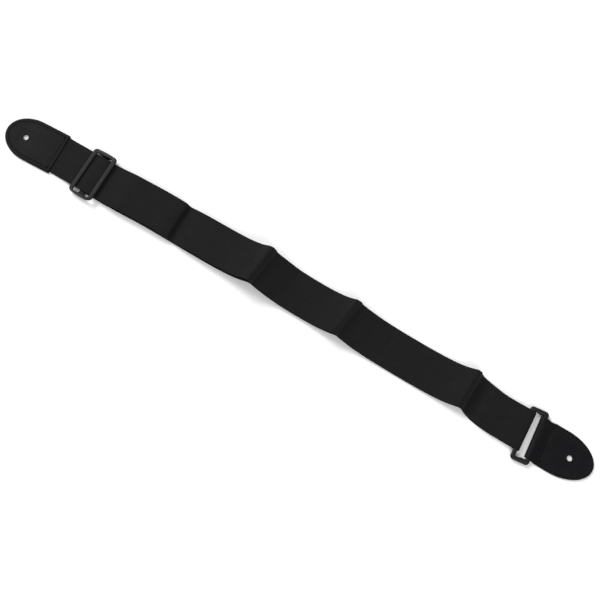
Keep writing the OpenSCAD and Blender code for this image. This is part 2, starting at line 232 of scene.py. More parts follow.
def new_piece(name, points, faces, material, weave=None, rim=None, pressed=None):
    """A smooth mesh object from points in millimetres."""
    mesh = bpy.data.meshes.new(name)
    mesh.from_pydata((np.asarray(points, float) * MM).tolist(), [], [list(map(int, f)) for f in faces])
    if weave is not None:
        layer = mesh.uv_layers.new(name="weave")
        corner = np.zeros(len(mesh.loops), int)
        mesh.loops.foreach_get("vertex_index", corner)
        layer.data.foreach_set("uv", np.asarray(weave, np.float32)[corner].ravel())
    # The pressed attribute carries painted shade along the leather's pressed lines; rim marks the darker edge
    # paint.
    for label, values in (("rim", rim), ("pressed", pressed)):
        if values is not None:
            layer = mesh.attributes.new(label, "FLOAT", "POINT")
            layer.data.foreach_set("value", np.asarray(values, np.float32))
    tidy = bmesh.new()
    tidy.from_mesh(mesh)
    bmesh.ops.remove_doubles(tidy, verts=tidy.verts, dist=1e-7)
    bmesh.ops.recalc_face_normals(tidy, faces=tidy.faces)
    for face in tidy.faces:
        face.smooth = True
    tidy.to_mesh(mesh)
    tidy.free()
    mesh.materials.append(material)
    piece = new_object(name, mesh)
    return piece


def tube_faces(rows, ring, ends=True, closed=False):
    """Quads between rings of points that follow each other, and a cap at each end."""
    faces = []
    for i in range(rows if closed else rows - 1):
        a, b = i * ring, (i + 1) % rows * ring
        for j in range(ring):
            k = (j + 1) % ring
            faces.append((a + j, b + j, b + k, a + k))
    if ends and not closed:
        faces.append(tuple(range(ring)))
        faces.append(tuple((rows - 1) * ring + j for j in range(ring)))
    return faces


# ------------ webbing

# The weave: ribs along the strip, points over each, their depth, and the round edge
RIBS = 34
RIB_STEPS = 4
RIB_DEEP = 0.09
SELVEDGE = 0.9
# Distance between sections on the flat, and the most that the strip turns between two of them
UPPER_ROW, UPPER_TURN = 2.9, 0.1
LOWER_ROW, LOWER_TURN = 3.2, 0.12
# A packing crease is where the strip turns down by more than CREST_BEND, in radians per millimetre.
# It stands up by CREST_RISE, is round over CREST_ROUND, fades over CREST_BEFORE and CREST_AFTER,
# and has closer sections for CREST_ROWS on both sides. Most folds hold two, whose rises add up.
CREST_BEND = 0.02
CREST_RISE = 2.2
CREST_ROUND = 1.0
CREST_BEFORE = 14
CREST_AFTER = 2.5
CREST_ROWS = 9
# DIP_AFTER past a crease the strip dips by DIP, in full where it is DIP_ABOVE + DIP_FADE high
DIP = 2.0
DIP_AFTER = 6
DIP_ABOVE, DIP_FADE = 5, 8
# Packing creases in the upper run are looked for only up to this distance before the ring
BLEND_BEFORE_RING = 66
# It is uneven from past the slider up to here before the ring
FREE_BEFORE_RING = 75
# The webbing stands off the ring's bar by this much at its two edges, and the leather by this much
TURN_LOOSE = (0.6, 2.4)
FOLD_LOOSE = 1.5
# The lower run lies flat over this length before the ring, and comes down to it over this one
FLAT_BEFORE_RING = 325
FLAT_FADE = 30
# The sewn lap: its upper layer comes down between these distances past the middle bar's axis, and
# its box of stitches starts here past it and keeps these distances from the lap's end and sides
LAP_DOWN = (2.5, 12.5)
LAP_BOX_START = 15
LAP_BOX_MARGIN = 3
LAP_BOX_SIDE = 5


def webbing_profile():
    """Distances across and heights of the points round a section of ribbed webbing."""
    flat = WEB_W / 2 - SELVEDGE
    count = RIBS * RIB_STEPS
    across, height = [], []
    for k in range(count + 1):
        across.append(-flat + 2 * flat * k / count)
        height.append(WEB_T / 2 - RIB_DEEP * (1 - abs(math.sin(math.pi * k / RIB_STEPS))))
    for side in (1, -1):
        for a in np.radians([62, 34, 0, -34, -62]):
            across.append(side * (flat + SELVEDGE * math.cos(a)))
            height.append(side * (WEB_T / 2 - RIB_DEEP / 2) * math.sin(a))
        if side == 1:
            for k in range(count, -1, -RIB_STEPS // 2):
                across.append(-flat + 2 * flat * k / count)
                height.append(RIB_DEEP * (1 - abs(math.sin(math.pi * k / RIB_STEPS))) - WEB_T / 2)
    return np.array(across), np.array(height)


def normals_of(middle):
    """Directions square to a line in x and z, upwards where it runs towards +x."""
    way = np.gradient(middle, axis=0)
    up = np.stack([-way[:, 2], np.zeros(len(way)), way[:, 0]], axis=1)
    return up / np.linalg.norm(up, axis=1)[:, None]


def even_rows(low, high, longest, turn, ridges=()):
    """Moves sections so that they are close together only where the strip bends or is creased."""
    middle = (low + high) / 2
    places = lengths(middle)
    way = np.gradient(middle, places, axis=0)
    bend = np.abs(np.gradient(np.unwrap(np.arctan2(way[:, 2], way[:, 0])), places))
    dense = 1 / longest + bend / turn
    for at in ridges:
        dense = dense + np.exp(-(((places - at) / CREST_ROWS) ** 2))
    count = np.concatenate([[0], np.cumsum((dense[1:] + dense[:-1]) / 2 * np.diff(places))])
    at = np.interp(np.linspace(0, count[-1], int(count[-1]) + 2), count, places)
    return through(low, places, at), through(high, places, at)


def crests(low, high):
    """Places along a strip where it turns sharply downwards: its packing creases."""
    middle = (low + high) / 2
    places = lengths(middle)
    way = np.gradient(middle, places, axis=0)
    slope = np.arctan2(way[:, 2], way[:, 0])
    bend = np.gradient(slope, places)
    inside = (middle[:, 0] > SLIDER_X + 2 * SLIDER_L) & (middle[:, 0] < BAR_A[0] - BLEND_BEFORE_RING)
    found = []
    for i in range(2, len(places) - 2):
        if inside[i] and bend[i] < -CREST_BEND and bend[i] == bend[i - 2:i + 3].min():
            found.append(places[i])
    return found


def webbing(name, low, high, normal, material, lift=None):
    """A strip of webbing whose inner face passes through the given edge points."""
    across, height = webbing_profile()
    share = (across / WEB_W + 0.5)[None, :, None]
    places = lengths((low + high) / 2 + normal * WEB_T / 2)
    inner = low[:, None, :] * (1 - share) + high[:, None, :] * share
    rise = np.broadcast_to(height + WEB_T / 2, (len(low), len(across))).copy()
    if lift is not None:
        rise += lift(places[:, None], across[None, :])
    points = inner + normal[:, None, :] * rise[:, :, None]
    weave = np.stack(np.broadcast_arrays(places[:, None], across[None, :]), axis=2)
    faces = tube_faces(len(low), len(across))
    piece = new_piece(name, points.reshape(-1, 3), faces, material, weave.reshape(-1, 2))
    flat = (WEB_W * MM, places[-1] * MM)
    return piece, flat


def upper_webbing(material):
    """From the tongue in end A to the ring and half round its bar, as one piece."""
    low, high = even_rows(*strip_edges("webbing_upper_run"), UPPER_ROW, UPPER_TURN)
    ridges = crests(low, high)
    low, high = even_rows(low, high, UPPER_ROW, UPPER_TURN, ridges)
    room_for_slider(low)
    room_for_slider(high)
    middle = (low + high) / 2
    normal = normals_of(middle)
    places = lengths(middle)
    above = [np.interp(at + DIP_AFTER, places, middle[:, 2]) for at in ridges]
    dips = [DIP * np.clip((z - DIP_ABOVE) / DIP_FADE, 0, 1) for z in above]
    seat = np.interp(SLIDER_SEAT, middle[:, 0], places) - SLIDER_L / 2
    turns = np.radians(np.arange(82.5, -90.1, -7.5))
    edges = []
    for y in (WEB_Y - WEB_W / 2, WEB_Y + WEB_W / 2):
        x = BAR_A[0] - (y - BAR_A[1]) * math.tan(RING_YAW)
        loose = TURN_LOOSE[0 if y < WEB_Y else 1] * np.cos(turns)
        edges.append(np.stack([
            x + TURN_R * np.cos(turns) / math.cos(RING_YAW) + loose,
            np.full(len(turns), y),
            RING_Z + TURN_R * np.sin(turns),
        ], axis=1))
    round_bar = np.stack([
        np.cos(turns) * math.cos(RING_YAW), np.cos(turns) * math.sin(RING_YAW), np.sin(turns)
    ], axis=1)
    start = low[0, 0]
    free = (SLIDER_X + SLIDER_L - start, BAR_A[0] - FREE_BEFORE_RING - start)

    def lift(s, a):
        """Unevenness and curled edges between slider and ring, and the creases before the seat."""
        there = ramp(s, free[0], free[0] + 30) * (1 - ramp(s, free[1], free[1] + 20))
        curl = 0.5 * (2 * np.abs(a) / WEB_W) ** 3 * waves(s, a * 0.2, 160, 11)
        pinch = 0
        for at, dip in zip(ridges, dips):
            off = np.hypot(s - at, CREST_ROUND) - CREST_ROUND
            pinch = pinch + CREST_RISE * np.exp(-off / np.where(s < at, CREST_BEFORE, CREST_AFTER))
            past = np.maximum(s - at, 0) / DIP_AFTER
            pinch = pinch - dip * past * np.exp(1 - past)
        pinch = pinch * (1 - ramp(s, seat - 8, seat - 1))
        return there * (0.3 * waves(s, a, 70, 12) + curl) + pinch

    piece, flat = webbing(
        "webbing_upper",
        np.concatenate([low, edges[0]]), np.concatenate([high, edges[1]]),
        np.concatenate([normal, round_bar]), material, lift,
    )
    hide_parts("webbing_upper_run", "webbing_ring_turn")
    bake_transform(piece)


def room_for_slider(edge):
    """Lowers an edge of the upper run at the slider's limit to the shape that it has in the slider."""
    x, z = edge[:, 0], edge[:, 2].copy()
    near = SLIDER_SEAT - SLIDER_L / 2
    same = np.minimum(z, np.interp(x - SLIDER_FAR, x, z))
    share = ramp(x, near - 10, near - 1.5) * (1 - ramp(x, SLIDER_SEAT, SLIDER_SEAT + 12))
    edge[:, 2] += (same - z) * share


def lower_webbing(material):
    """From the sewn lap beside the slider to the underside of the ring's bar."""
    low, high = even_rows(*strip_edges("webbing_lower_run"), LOWER_ROW, LOWER_TURN)
    flat_from = BAR_A[0] - FLAT_BEFORE_RING
    for edge in (low, high):
        edge[:, 2] += (LIFT - edge[:, 2]) * ramp(edge[:, 0], flat_from - FLAT_FADE, flat_from)
    piece, flat = webbing("webbing_lower", low, high, normals_of((low + high) / 2), material)
    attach(piece, "turn")
    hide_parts("webbing_lower_run")
    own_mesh(piece)


def slider_loop(material):
    """The end of the webbing, folded round the slider's middle bar and lapped on itself."""
    eye = (MID_BAR_W - MID_BAR_T) / 2
    inner_r = MID_BAR_Z - LIFT - WEB_T
    lap = LOOP_HIGH[0] - SLIDER_X
    floor_z = LIFT + WEB_T
    line = [(x, floor_z) for x in np.arange(lap, -eye, -3.0)]
    line += [
        (-eye + inner_r * math.cos(a), MID_BAR_Z + inner_r * math.sin(a))
        for a in np.radians(np.arange(270, 89, -15))
    ]
    over = MID_BAR_Z + inner_r
    line += [(x, over + (floor_z - over) * float(ramp(x, *LAP_DOWN))) for x in np.arange(-1.5, 15, 1.1)]
    line += [(x, floor_z) for x in np.linspace(16, lap, 8)]
    middle = np.array([(SLIDER_X + x, WEB_Y, z) for x, z in line])
    side = np.array([0, WEB_W / 2, 0])
    normal = normals_of(middle)
    piece, flat = webbing(
        "webbing_loop", middle - side, middle + side, normal, material, lambda s, a: APART
    )
    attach(piece, "slider")
    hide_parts("webbing_slider_loop")


# ------------ sewing thread

# Radius of one ply of the thread, and how far it lies from the thread's axis
PLY_R = 0.2
PLY_OFFSET = 0.15


def thread(name, rows, material, body, node):
    """Twisted two-ply stitches from hole to hole; a row is its holes, its upward way and its rise."""
    t = np.linspace(0, 1, 11)
    ring = np.linspace(0, 2 * math.pi, 6, endpoint=False)
    points, faces = [], []
    for holes, up, rise in rows:
        for a, b in zip(holes[:-1], holes[1:]):
            way = (b - a) / np.linalg.norm(b - a)
            side = np.cross(up, way)
            lie = np.cross(way, side)
            bow = (np.sin(math.pi * t) ** 0.45)[:, None]
            core = a + (b - a) * (0.05 + 0.9 * t)[:, None] + lie * (bow * (rise + 0.3) - 0.3)
            for ply in (0, math.pi):
                turn = 3 * math.pi * t + ply
                centre = core + PLY_OFFSET * (np.cos(turn)[:, None] * side + np.sin(turn)[:, None] * lie)
                round_it = np.cos(ring)[:, None] * side + np.sin(ring)[:, None] * lie
                first = len(points)
                points.extend((centre[:, None, :] + PLY_R * round_it[None, :, :]).reshape(-1, 3))
                faces.extend(tuple(first + v for v in f) for f in tube_faces(len(t), len(ring)))
    piece = new_piece(name, points, faces, material)
    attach(piece, body)
    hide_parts(node)


def leather_thread(body, part, at, front, under, place, material):
    """Stitches on both faces of a leather end, from hole to hole."""
    rows = []
    for surface, way, raised, rise in ((front, 1.0, 0.35, 0.12), (under, -1.0, -0.3, -0.02)):
        z = surface(at[:, 0], at[:, 1]) + raised
        rows.append((place(np.column_stack([at, z])), np.array([0, 0, way]), rise))
    thread(f"{body}_{part}_thread", rows, material, body, f"{body}_{part}_stitching")


def holes_along(path):
    """Needle holes at an even pitch along a line of points in plan."""
    places = lengths(path)
    count = round(places[-1] / STITCH_PITCH)
    at = np.linspace(0, places[-1], count + 1)
    return np.stack([np.interp(at, places, path[:, i]) for i in (0, 1)], axis=1)


# ------------ leather

# Roundness of the leather's edge and of the hole's, and the rim where the leather is thinner
EDGE_ROUND = 0.45
HOLE_ROUND = 0.4
RIM_W = 2.2
# Distances from the edge at which the leather has a line of points: close at the edge and the groove
INSETS = (
    0, 0.06, 0.16, 0.3, 0.45, 0.9, 1.6, 2.4, 3.1,
    3.6, 3.95, 4.25, 4.6, 4.95, 5.25, 5.6, 6.1, 6.9,
)
OUTLINE_STEP = 1.25
GRID = 1.7


class Plan:
    """Plan of a leather end: straight sides, half an ellipse for the tip, and a round hole.

    half_width(x) is half its width at x, and first(inset) is where its sides begin.
    """

    def __init__(self, l, w, tip, hole_x, half_width, first):
        self.l, self.w, self.tip, self.hole_x = l, w, tip, hole_x
        self.half_width = half_width
        self.first = first

    def ring(self, inset):
        """Points round the end at an inset, from one corner to the other by way of the tip."""
        half = self.w / 2 - inset
        x0 = self.first(inset)
        straight = np.arange(x0, self.l - self.tip, OUTLINE_STEP)
        turns = np.radians(np.linspace(-90, 90, 84))
        tip = np.stack([
            self.l - self.tip + (self.tip - inset) * np.cos(turns), half * np.sin(turns)
        ], axis=1)
        near = np.stack([straight, inset - self.half_width(straight)], axis=1)
        far = np.stack([straight, self.half_width(straight) - inset], axis=1)[::-1]
        return np.concatenate([near, tip, far])

    def inset(self, x, y):
        """How far inside the sides and the tip a point lies."""
        side = self.half_width(x) - np.abs(y)
        low = np.full(np.shape(x), -2.0)
        high = np.full(np.shape(x), self.w / 2 - 0.1)
        for _ in range(34):
            mid = (low + high) / 2
            past = np.maximum(x - self.l + self.tip, 0) / (self.tip - mid)
            outside = past**2 + (y / (self.w / 2 - mid)) ** 2 > 1
            low, high = np.where(outside, low, mid), np.where(outside, mid, high)
        return np.where(x > self.l - self.tip, low, side)

    def from_hole(self, x, y):
        return np.hypot(x - self.hole_x, y) - HOLE_R


def edge_round(d, r):
    """How far a rounded edge drops below its face, at a distance from the edge."""
    inside = np.clip(r - d, 0, r)
    return r - np.sqrt(r * r - inside * inside)


def groove(d, deep=GROOVE_DEEP):
    """A pressed line with soft lips, across which d is measured."""
    return -deep * np.exp(-((d / 0.5) ** 2)) + 0.05 * np.exp(-(((np.abs(d) - 1.25) / 0.55) ** 2))


def painted_groove_shade(d):
    """How much painted shade a point gets along a pressed line."""
    return np.exp(-((d / 0.75) ** 2))


def pits(x, y, holes):
    """Dimples that the needle leaves."""
    total = np.zeros(np.shape(x))
    for hole in holes:
        total -= 0.3 * np.exp(-((x - hole[0]) ** 2 + (y - hole[1]) ** 2) / 0.36**2)
    return total


def triangulate(plan, closed_side, holes, inside):
    """Points and triangles over a leather end, fine along its edge, groove, seam and hole."""
    points, edges = [], []

    def add(line, constrain, close=False):
        first = len(points)
        points.extend(Vector(p) for p in line)
        if constrain:
            edges.extend((first + i, first + i + 1) for i in range(len(line) - 1))
        if close:
            edges.append((first + len(line) - 1, first))

    outline = plan.ring(0)
    add(np.concatenate([outline, closed_side(0)[1:-1]]), True, close=True)
    for inset in INSETS[1:]:
        add(plan.ring(inset), False)
        add(closed_side(inset)[1:-1], False)
    for reach in (0, 0.06, 0.18, 0.4, 1.0, 2.0, 3.2):
        turns = np.linspace(0, 2 * math.pi, 56, endpoint=False)
        circle = [
            (plan.hole_x + (HOLE_R + reach) * math.cos(a), (HOLE_R + reach) * math.sin(a)) for a in turns
        ]
        add(circle, reach == 0, close=reach == 0)
    for hole in holes:
        for reach, number in ((0, 1), (0.24, 6), (0.5, 8)):
            for a in np.linspace(0, 2 * math.pi, number, endpoint=False):
                points.append(Vector((hole[0] + reach * math.cos(a), hole[1] + reach * math.sin(a))))
    grid = np.array([
        (x, y)
        for x in np.arange(-12, plan.l, GRID)
        for y in np.arange(-plan.w / 2, plan.w / 2, GRID)
    ])
    clear = (plan.inset(grid[:, 0], grid[:, 1]) > INSETS[-1] + 1) & (plan.from_hole(*grid.T) > 4)
    points.extend(Vector(p) for p in grid[clear & inside(grid[:, 0], grid[:, 1], 1.2)])
    found, _, triangles, *_ = delaunay_2d_cdt(points, edges, [], 0, 1e-4)
    flat = np.array(found)
    kept = []
    for triangle in triangles:
        x, y = flat[list(triangle)].mean(axis=0)
        if plan.from_hole(x, y) > 0 and plan.inset(np.array([x]), np.array([y]))[0] > 0:
            if inside(np.array([x]), np.array([y]), 0)[0]:
                kept.append(tuple(triangle))
    used = np.unique(np.array(kept))
    index = {int(old): new for new, old in enumerate(used)}
    return flat[used], [tuple(index[v] for v in t) for t in kept]


def border(triangles):
    """Edges that belong to one triangle only, in that triangle's order."""
    seen = {}
    for t in triangles:
        for a, b in ((t[0], t[1]), (t[1], t[2]), (t[2], t[0])):
            if (b, a) in seen:
                del seen[(b, a)]
            else:
                seen[(a, b)] = True
    return list(seen)


def sheet_solid(flat, triangles, top, bottom, skip=None):
    """A layer between two height functions over a triangulated plan, closed except where skip holds."""
    x, y = flat.T
    count = len(flat)
    points = np.concatenate([
        np.stack([x, y, top(x, y)], axis=1), np.stack([x, y, bottom(x, y)], axis=1)
    ])
    faces = list(triangles) + [tuple(count + v for v in reversed(t)) for t in triangles]
    for a, b in border(triangles):
        if skip is None or not skip(flat[a], flat[b]):
            faces.append((b, a, count + a, count + b))
    return points, faces


# End A

PLAN_A = Plan(
    END_A_L, END_A_W, END_A_TIP, END_A_L - HOLE_A_IN,
    half_width=lambda x: np.full(np.shape(x), END_A_W / 2),
    first=lambda inset: inset * SEAM_ROW / STITCH_IN,
)


def end_a_seam(inset):
    """The straight side of end A at an inset, from +y to -y."""
    half = END_A_W / 2 - inset
    return np.array([(PLAN_A.first(inset), y) for y in np.linspace(half, -half, 44)])


def end_a_inset(x, y):
    return np.minimum(PLAN_A.inset(x, y), x * STITCH_IN / SEAM_ROW)


def end_a_place(points):
    """From end A's own frame to the strap's."""
    angle = math.pi + END_A_YAW
    origin = HOLE_A[:2] - turned(np.array([(PLAN_A.hole_x, 0)]), angle)
    return np.column_stack([turned(points, angle) + origin, points[:, 2]])


def end_a_step(x, y):
    """Underside of the front leather, which steps down over the webbing's tongue."""
    open_side = np.clip(1 - PLAN_A.inset(x, y) / RIM_W, 0, 1)
    over = (WEB_T - 0.45 * open_side**2) * (1 - ramp(x, RAMP_START, RAMP_END))
    return LEATHER_T + over + APART


def end_a(leather, back, sewn):
    edge_path = PLAN_A.ring(STITCH_IN)
    edge_holes = holes_along(edge_path[edge_path[:, 0] > SEAM_ROW])
    half = END_A_W / 2 - STITCH_IN
    seam_holes = holes_along(np.array([(SEAM_ROW, -half), (SEAM_ROW, half)]))[1:-1]
    holes = np.concatenate([edge_holes, seam_holes])
    flat, triangles = triangulate(PLAN_A, end_a_seam, holes, lambda x, y, gap: x > gap)

    def pressed(x, y):
        d = end_a_inset(x, y)
        hole = edge_round(PLAN_A.from_hole(x, y), HOLE_ROUND)
        return groove(d - STITCH_IN) + pits(x, y, holes) - hole - edge_round(d, EDGE_ROUND)

    def padding(x, y):
        d = end_a_inset(x, y)
        return 0.3 * ramp(d, STITCH_IN + 0.5, 14) * (0.7 + 0.3 * waves(x, y, 30, 21))

    def front(x, y):
        return end_a_step(x, y) + LEATHER_T - APART + pressed(x, y) + padding(x, y)

    def under(x, y):
        return -np.minimum(pressed(x, y), 0)

    def rim(points):
        return 1 - ramp(end_a_inset(points[:, 0], points[:, 1]), 0.05, 1.1)

    for name, node, material, slot, top, bottom in (
        ("end_a_front", "end_a_front_leather", leather, "leather", front, end_a_step),
        ("end_a_back", "end_a_back_leather", back, "leather_back",
         lambda x, y: LEATHER_T - edge_round(end_a_inset(x, y), 0.15), under),
    ):
        points, faces = sheet_solid(flat, triangles, top, bottom)
        # Painted shade along the pressed line of stitches, kept in the pressed attribute.
        lines = painted_groove_shade(end_a_inset(points[:, 0], points[:, 1]) - STITCH_IN)
        piece = new_piece(
            name, end_a_place(points), faces, material, rim=rim(points), pressed=lines
        )
        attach(piece, "end_a")
        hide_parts(node)

    leather_thread("end_a", "edge", edge_holes, front, under, end_a_place, sewn)
    leather_thread("end_a", "seam", seam_holes, front, under, end_a_place, sewn)


# End B


def fold_x(y):
    """Where the plane through the ring's bar lies in end B's own frame."""
    return -(y + END_B_Y - BAR_B[1]) * math.tan(RING_YAW)


PLAN_B = Plan(
    END_B_L, END_B_W, END_B_TIP, HOLE_B[0] - BAR_B[0],
    half_width=lambda x: END_B_FOLD_W / 2 + (END_B_W - END_B_FOLD_W) / 2 * ramp(x, FOLD_SIDE, 13),
    first=lambda inset: FOLD_SIDE,
)


def end_b_place(points):
    """From end B's own frame to the strap's."""
    return points + np.array([BAR_B[0], END_B_Y, 0])


def end_b_fold(inset):
    """The line where end B meets the turn round the bar, and its sides next to it, from +y to -y."""
    half = END_B_FOLD_W / 2 - inset
    near, far = (np.arange(fold_x(side * half), FOLD_SIDE - 0.1, OUTLINE_STEP) for side in (1, -1))
    if inset > 0:
        return np.array([(x, half) for x in near[::-1]] + [(x, -half) for x in far])
    line = [(FOLD_SIDE, half)] + [(x, half) for x in near[:0:-1]]
    line += [(fold_x(y), y) for y in fold_samples()]
    line += [(x, -half) for x in far[1:]] + [(FOLD_SIDE, -half)]
    return np.array(line)


def fold_samples():
    """Places across the fold, from +y to -y, close together at its edges."""
    half = END_B_FOLD_W / 2
    edge = [half - inset for inset in INSETS[:7]]
    inner = np.linspace(edge[-1], -edge[-1], 30)[1:-1]
    return np.concatenate([edge, inner, [-y for y in reversed(edge)]])


def end_b(leather, sewn):
    c = math.cos(RING_YAW)
    peak = RING_Z + TURN_R + LEATHER_T
    level = 2 * LEATHER_T

    def from_bar(x, y):
        return (x - fold_x(y)) * c

    path = PLAN_B.ring(STITCH_IN)
    path = path[from_bar(path[:, 0], path[:, 1]) > TUNNEL_ROW]
    edge_holes = holes_along(path)
    half = END_B_W / 2 - STITCH_IN
    ends = [(fold_x(y) + TUNNEL_ROW / c, y) for y in (-half, half)]
    row_holes = holes_along(np.array(ends))[1:-1]
    holes = np.concatenate([edge_holes, row_holes])
    flat, triangles = triangulate(
        PLAN_B, end_b_fold, holes, lambda x, y, gap: x > fold_x(y) + gap - 1e-6
    )

    def pressed(x, y):
        d = PLAN_B.inset(x, y)
        u = from_bar(x, y)
        edge = groove(d - STITCH_IN) * ramp(u, TUNNEL_ROW - 0.8, TUNNEL_ROW + 0.2)
        across = groove(u - TUNNEL_ROW) * ramp(d, STITCH_IN - 0.9, STITCH_IN - 0.1)
        deeper = np.minimum(edge, across) + np.maximum(np.maximum(edge, across), 0)
        hole = edge_round(PLAN_B.from_hole(x, y), HOLE_ROUND)
        return deeper + pits(x, y, holes) - hole - edge_round(d, EDGE_ROUND)

    def front(x, y):
        u = from_bar(x, y)
        fall = (peak - level) * (1 - ramp(u, 0, TUNNEL))
        soft = 0.25 * ramp(u, TUNNEL_ROW, TUNNEL_ROW + 9) * ramp(PLAN_B.inset(x, y), STITCH_IN, 14)
        return level + fall + pressed(x, y) + soft * (0.7 + 0.3 * waves(x, y, 30, 31))

    def front_under(x, y):
        u = from_bar(x, y)
        return level - LEATHER_T + (peak - level) * (1 - ramp(u, 0, TUNNEL)) + 0.03 * ramp(u, 1, 5)

    def back_top(x, y):
        return np.full(np.shape(x), LEATHER_T)

    def under(x, y):
        return -np.minimum(pressed(x, y), 0)

    def on_fold(a, b):
        return max(abs(from_bar(*a)), abs(from_bar(*b))) < 1e-3

    points, faces = sheet_solid(flat, triangles, front, front_under, on_fold)
    more, more_faces = sheet_solid(flat, triangles, back_top, under, on_fold)
    faces += [tuple(v + len(points) for v in f) for f in more_faces]
    points = np.concatenate([points, more])
    ys = fold_samples()
    drop = edge_round(END_B_FOLD_W / 2 - np.abs(ys), EDGE_ROUND)
    grid = []
    for a in np.radians(np.arange(90, 271, 7.5)):
        for r in (TURN_R + LEATHER_T - drop, np.full(len(ys), TURN_R)):
            x = fold_x(ys) + r * math.cos(a) / c + FOLD_LOOSE * math.cos(a)
            grid.append(np.stack([x, ys, RING_Z + r * math.sin(a)], axis=1))
    first, n = len(points), len(ys)
    points = np.concatenate([points, *grid])
    rows = len(grid) // 2
    for i in range(rows - 1):
        for layer in (0, 1):
            a = first + (2 * i + layer) * n
            b = a + 2 * n
            faces += [(a + j, a + j + 1, b + j + 1, b + j) for j in range(n - 1)]
        for j in (0, n - 1):
            a = first + 2 * i * n + j
            faces.append((a, a + n, a + 3 * n, a + 2 * n))
    d = PLAN_B.inset(points[:, 0], points[:, 1])
    rim = 1 - ramp(np.minimum(d, END_B_FOLD_W / 2 - np.abs(points[:, 1]) + 5), 0.05, 1.1)
    u = from_bar(points[:, 0], points[:, 1])
    # Painted shade along the pressed lines of the edge and of the tunnel's row, kept in the pressed attribute.
    lines = np.maximum(
        painted_groove_shade(d - STITCH_IN) * (u > TUNNEL_ROW), painted_groove_shade(u - TUNNEL_ROW) * (d > STITCH_IN)
    )
    piece = new_piece("end_b", end_b_place(points), faces, leather, rim=rim, pressed=lines)
    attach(piece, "end_b")
    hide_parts("end_b_leather")

    leather_thread("end_b", "edge", edge_holes, front, under, end_b_place, sewn)
    leather_thread("end_b", "tunnel", row_holes, front, under, end_b_place, sewn)


def lap_stitching(sewn):
    """A box with a cross in it, through both layers of the lap beside the slider."""
    x0 = SLIDER_X + LAP_BOX_START
    x1 = LOOP_HIGH[0] - LAP_BOX_MARGIN
    half = WEB_W / 2 - LAP_BOX_SIDE
    box = [(x0, -half), (x1, -half), (x1, half), (x0, half), (x0, -half)]
    lines = [[a, b] for a, b in zip(box[:-1], box[1:])]
    lines += [[(x0, -half), (x1, half)], [(x0, half), (x1, -half)]]
    rows = []
    for z, way, rise in ((LIFT + 2 * WEB_T, 1.0, 0.05), (LIFT + 0.24, -1.0, -0.12)):
        for line in lines:
            at = holes_along(np.array(line)) + np.array([0, WEB_Y])
            holes = np.column_stack([at, np.full(len(at), z)])
            rows.append((holes, np.array([0, 0, way]), rise))
    thread("lap_thread", rows, sewn, "slider", "slider_loop_stitching")


# ------------ ring and slider


def rounded(half_x, half_y, radius, arc_steps=10, side_steps=24):
    """Points round a rectangle with round corners."""
    arcs = []
    for way_x, way_y, start in ((1, 1, 0), (-1, 1, 90), (-1, -1, 180), (1, -1, 270)):
        turns = np.radians(start + np.linspace(0, 90, arc_steps + 1))
        centre = np.array([way_x * (half_x - radius), way_y * (half_y - radius)])
        arcs.append(centre + radius * np.stack([np.cos(turns), np.sin(turns)], axis=1))
    share = np.linspace(0, 1, side_steps + 1)[1:-1, None]
    points = []
    for arc, after in zip(arcs, arcs[1:] + arcs[:1]):
        points += [arc, arc[-1] + (after[0] - arc[-1]) * share]
    return np.concatenate(points)


def box_round(angles, power):
    """A rounded square of half-size 1, from a circle at power 2 to nearly square above 6."""
    c, s = np.cos(angles), np.sin(angles)
    return np.sign(c) * np.abs(c) ** (2 / power), np.sign(s) * np.abs(s) ** (2 / power)


def ring(material):
    """A ring of thick rounded bar, with the fine line that its mould leaves round the outside."""
    size = math.hypot(*(BAR_B - BAR_A)[:2]) / 2
    half_w = ((RING_HIGH[1] - RING_LOW[1]) / 2 - RING_R - (size - RING_CORNER) * math.sin(RING_YAW)
              - RING_CORNER) / math.cos(RING_YAW) + RING_CORNER
    outer = rounded(size + RING_R, half_w + RING_R, RING_OUTER_CORNER, 12, 30)
    inner = rounded(size - RING_R, half_w - RING_R, RING_INNER_CORNER, 12, 30)
    more = ramp(inner[:, 0] + size, *END_BAR_FROM)
    more *= ramp(np.abs(inner[:, 1]), half_w - 12, half_w - RING_R)
    inner[:, 1] -= END_BAR_MORE * more * np.sign(inner[:, 1])
    angles = np.radians([0, 3, 6, 10, *range(22, 350, 11), 350, 354, 357])
    u, v = box_round(angles, 2.5)
    flash = np.where((angles < 0.08) | (angles > 6.2), 0.07, 0) + np.where(angles == 0, 0.04, 0)
    points = []
    for o, i in zip(outer, inner):
        middle, half = (o + i) / 2, (o - i) / 2
        half = half * (1 - 0.04 / RING_R)
        for a, b, f in zip(u, v, flash):
            points.append((*(middle + half * (a + f / RING_R)), (RING_R - 0.04) * b))
    points = np.array(points)
    middle = (BAR_A + BAR_B) / 2
    placed = np.column_stack([turned(points, RING_YAW) + middle[:2], points[:, 2] + RING_Z])
    faces = tube_faces(len(outer), len(angles), closed=True)
    piece = new_piece("ring_moulding", placed, faces, material)
    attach(piece, "ring")
    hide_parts("ring")


def frame_under(x):
    """Underside of the slider's tilted frame."""
    return OUTER_BAR_Z + x * math.tan(SLIDER_TILT)


